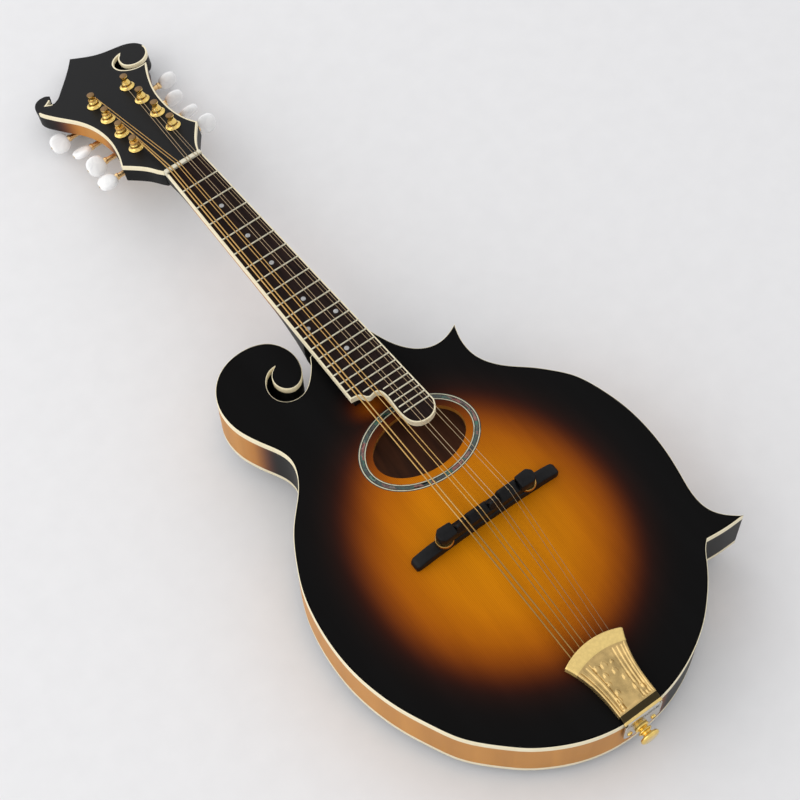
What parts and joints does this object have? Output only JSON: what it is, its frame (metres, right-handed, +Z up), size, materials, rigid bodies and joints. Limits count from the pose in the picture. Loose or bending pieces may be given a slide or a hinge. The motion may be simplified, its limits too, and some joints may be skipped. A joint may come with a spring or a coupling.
{
  "type": "mandolin",
  "caption": "Oval-hole mandolin with a scroll body and scroll headstock, arched top and back, adjustable bridge, sliding tailpiece cover and geared tuners.",
  "frame": {"origin": "middle of the small flat on the crown of the back, which it rests on", "axes": "+Y along the centre line to the headstock, +Z up out of the top, +X to the thin strings"},
  "size_m": [0.2652, 0.6966, 0.0895],
  "materials": {
    "spruce_top": "satin sunburst",
    "stained_maple": "satin stained",
    "plain_wood": "bare",
    "black_lacquer": "black lacquer",
    "ivoroid": "satin cream",
    "rosewood": "oiled",
    "ebony": "polished",
    "bone": "polished bone",
    "abalone": "polished shell",
    "gold_plate": "gold plated",
    "bridge_brass": "plain brass",
    "plated_steel": "plated",
    "wound_bronze": "wound",
    "plain_steel": "plain wire",
    "pearloid": "pearly"
  },
  "bodies": {
    "frame": {"back_binding": "ivoroid", "back_plate": "stained_maple", "bridge_base": "ebony", "bridge_post_bass": "bridge_brass", "bridge_post_treble": "bridge_brass", "cross_brace": "plain_wood", "end_pin": "gold_plate", "fingerboard": "rosewood", "fingerboard_binding": "ivoroid", "head_block": "plain_wood", "headstock_binding": "ivoroid", "headstock_overlay": "black_lacquer", "heel_cap": "black_lacquer", "neck": "stained_maple", "nut": "bone", "rim": "stained_maple", "rosette": "abalone", "string_a1": "plain_steel", "string_a2": "plain_steel", "string_d1": "wound_bronze", "string_d2": "wound_bronze", "string_e1": "plain_steel", "string_e2": "plain_steel", "string_g1": "wound_bronze", "string_g2": "wound_bronze", "tail_block": "plain_wood", "tailpiece_base": "plated_steel", "top_binding": "ivoroid", "top_plate": "spruce_top", "truss_rod": "plated_steel", "tuner_bushing_bass_1": "gold_plate", "tuner_bushing_bass_2": "gold_plate", "tuner_bushing_bass_3": "gold_plate", "tuner_bushing_bass_4": "gold_plate", "tuner_bushing_treble_1": "gold_plate", "tuner_bushing_treble_2": "gold_plate", "tuner_bushing_treble_3": "gold_plate", "tuner_bushing_treble_4": "gold_plate", "tuner_plate_bass": "gold_plate", "tuner_plate_treble": "gold_plate"},
    "saddle": {"bridge_saddle": "ebony"},
    "cover": {"tailpiece_cover": "gold_plate"},
    "wheel_bass": {"thumbwheel_bass": "bridge_brass"},
    "wheel_treble": {"thumbwheel_treble": "bridge_brass"},
    "key_bass_1": {"tuner_key_bass_1": "pearloid"},
    "key_bass_2": {"tuner_key_bass_2": "pearloid"},
    "key_bass_3": {"tuner_key_bass_3": "pearloid"},
    "key_bass_4": {"tuner_key_bass_4": "pearloid"},
    "key_treble_1": {"tuner_key_treble_1": "pearloid"},
    "key_treble_2": {"tuner_key_treble_2": "pearloid"},
    "key_treble_3": {"tuner_key_treble_3": "pearloid"},
    "key_treble_4": {"tuner_key_treble_4": "pearloid"},
    "post_bass_1": {"tuner_post_bass_1": "gold_plate"},
    "post_bass_2": {"tuner_post_bass_2": "gold_plate"},
    "post_bass_3": {"tuner_post_bass_3": "gold_plate"},
    "post_bass_4": {"tuner_post_bass_4": "gold_plate"},
    "post_treble_1": {"tuner_post_treble_1": "gold_plate"},
    "post_treble_2": {"tuner_post_treble_2": "gold_plate"},
    "post_treble_3": {"tuner_post_treble_3": "gold_plate"},
    "post_treble_4": {"tuner_post_treble_4": "gold_plate"}
  },
  "joints": [
    {"name": "saddle_lift", "type": "slide", "parent": "frame", "child": "saddle", "axis": [0, -0.0294, 0.9996], "range_m": [-0.0008, 0.0012], "deforming": ["string_a1", "string_a2", "string_d1", "string_d2", "string_e1", "string_e2", "string_g1", "string_g2"]},
    {"name": "thumbwheel_bass_spin", "type": "hinge", "parent": "saddle", "child": "wheel_bass", "pos_m": [-0.033, 0.01017, 0.07593], "axis": [0, -0.0294, 0.9996], "range_deg": [-360, 540]},
    {"name": "thumbwheel_treble_spin", "type": "hinge", "parent": "saddle", "child": "wheel_treble", "pos_m": [0.033, 0.01017, 0.07593], "axis": [0, -0.0294, 0.9996], "range_deg": [-360, 540]},
    {"name": "cover_slide", "type": "slide", "parent": "frame", "child": "cover", "axis": [0, -0.9996, -0.0294], "range_m": [0, 0.056]},
    {"name": "key_bass_1_spin", "type": "hinge", "parent": "frame", "child": "key_bass_1", "pos_m": [-0.0161, 0.40796, 0.03028], "axis": [-1, 0, 0], "continuous": true},
    {"name": "post_bass_1_spin", "type": "hinge", "parent": "frame", "child": "post_bass_1", "pos_m": [-0.0161, 0.40596, 0.05173], "axis": [0, 0.2835, 0.959], "continuous": true},
    {"name": "key_bass_2_spin", "type": "hinge", "parent": "frame", "child": "key_bass_2", "pos_m": [-0.0156, 0.43007, 0.02375], "axis": [-1, 0, 0], "continuous": true},
    {"name": "post_bass_2_spin", "type": "hinge", "parent": "frame", "child": "post_bass_2", "pos_m": [-0.0156, 0.42807, 0.0452], "axis": [0, 0.2835, 0.959], "continuous": true},
    {"name": "key_bass_3_spin", "type": "hinge", "parent": "frame", "child": "key_bass_3", "pos_m": [-0.0151, 0.45217, 0.01722], "axis": [-1, 0, 0], "continuous": true},
    {"name": "post_bass_3_spin", "type": "hinge", "parent": "frame", "child": "post_bass_3", "pos_m": [-0.0151, 0.45017, 0.03866], "axis": [0, 0.2835, 0.959], "continuous": true},
    {"name": "key_bass_4_spin", "type": "hinge", "parent": "frame", "child": "key_bass_4", "pos_m": [-0.0146, 0.47428, 0.01068], "axis": [-1, 0, 0], "continuous": true},
    {"name": "post_bass_4_spin", "type": "hinge", "parent": "frame", "child": "post_bass_4", "pos_m": [-0.0146, 0.47228, 0.03213], "axis": [0, 0.2835, 0.959], "continuous": true},
    {"name": "key_treble_1_spin", "type": "hinge", "parent": "frame", "child": "key_treble_1", "pos_m": [0.0161, 0.40796, 0.03028], "axis": [1, 0, 0], "continuous": true},
    {"name": "post_treble_1_spin", "type": "hinge", "parent": "frame", "child": "post_treble_1", "pos_m": [0.0161, 0.40596, 0.05173], "axis": [0, 0.2835, 0.959], "continuous": true},
    {"name": "key_treble_2_spin", "type": "hinge", "parent": "frame", "child": "key_treble_2", "pos_m": [0.0156, 0.43007, 0.02375], "axis": [1, 0, 0], "continuous": true},
    {"name": "post_treble_2_spin", "type": "hinge", "parent": "frame", "child": "post_treble_2", "pos_m": [0.0156, 0.42807, 0.0452], "axis": [0, 0.2835, 0.959], "continuous": true},
    {"name": "key_treble_3_spin", "type": "hinge", "parent": "frame", "child": "key_treble_3", "pos_m": [0.0151, 0.45217, 0.01722], "axis": [1, 0, 0], "continuous": true},
    {"name": "post_treble_3_spin", "type": "hinge", "parent": "frame", "child": "post_treble_3", "pos_m": [0.0151, 0.45017, 0.03866], "axis": [0, 0.2835, 0.959], "continuous": true},
    {"name": "key_treble_4_spin", "type": "hinge", "parent": "frame", "child": "key_treble_4", "pos_m": [0.0146, 0.47428, 0.01068], "axis": [1, 0, 0], "continuous": true},
    {"name": "post_treble_4_spin", "type": "hinge", "parent": "frame", "child": "post_treble_4", "pos_m": [0.0146, 0.47228, 0.03213], "axis": [0, 0.2835, 0.959], "continuous": true}
  ],
  "couplings": [
    {"joint": "thumbwheel_bass_spin", "follows": "saddle_lift", "rad_per_m": 7854},
    {"joint": "thumbwheel_treble_spin", "follows": "saddle_lift", "rad_per_m": 7854},
    {"joint": "post_bass_1_spin", "follows": "key_bass_1_spin", "ratio": -0.0625},
    {"joint": "post_bass_2_spin", "follows": "key_bass_2_spin", "ratio": -0.0625},
    {"joint": "post_bass_3_spin", "follows": "key_bass_3_spin", "ratio": -0.0625},
    {"joint": "post_bass_4_spin", "follows": "key_bass_4_spin", "ratio": -0.0625},
    {"joint": "post_treble_1_spin", "follows": "key_treble_1_spin", "ratio": 0.0625},
    {"joint": "post_treble_2_spin", "follows": "key_treble_2_spin", "ratio": 0.0625},
    {"joint": "post_treble_3_spin", "follows": "key_treble_3_spin", "ratio": 0.0625},
    {"joint": "post_treble_4_spin", "follows": "key_treble_4_spin", "ratio": 0.0625}
  ]
}
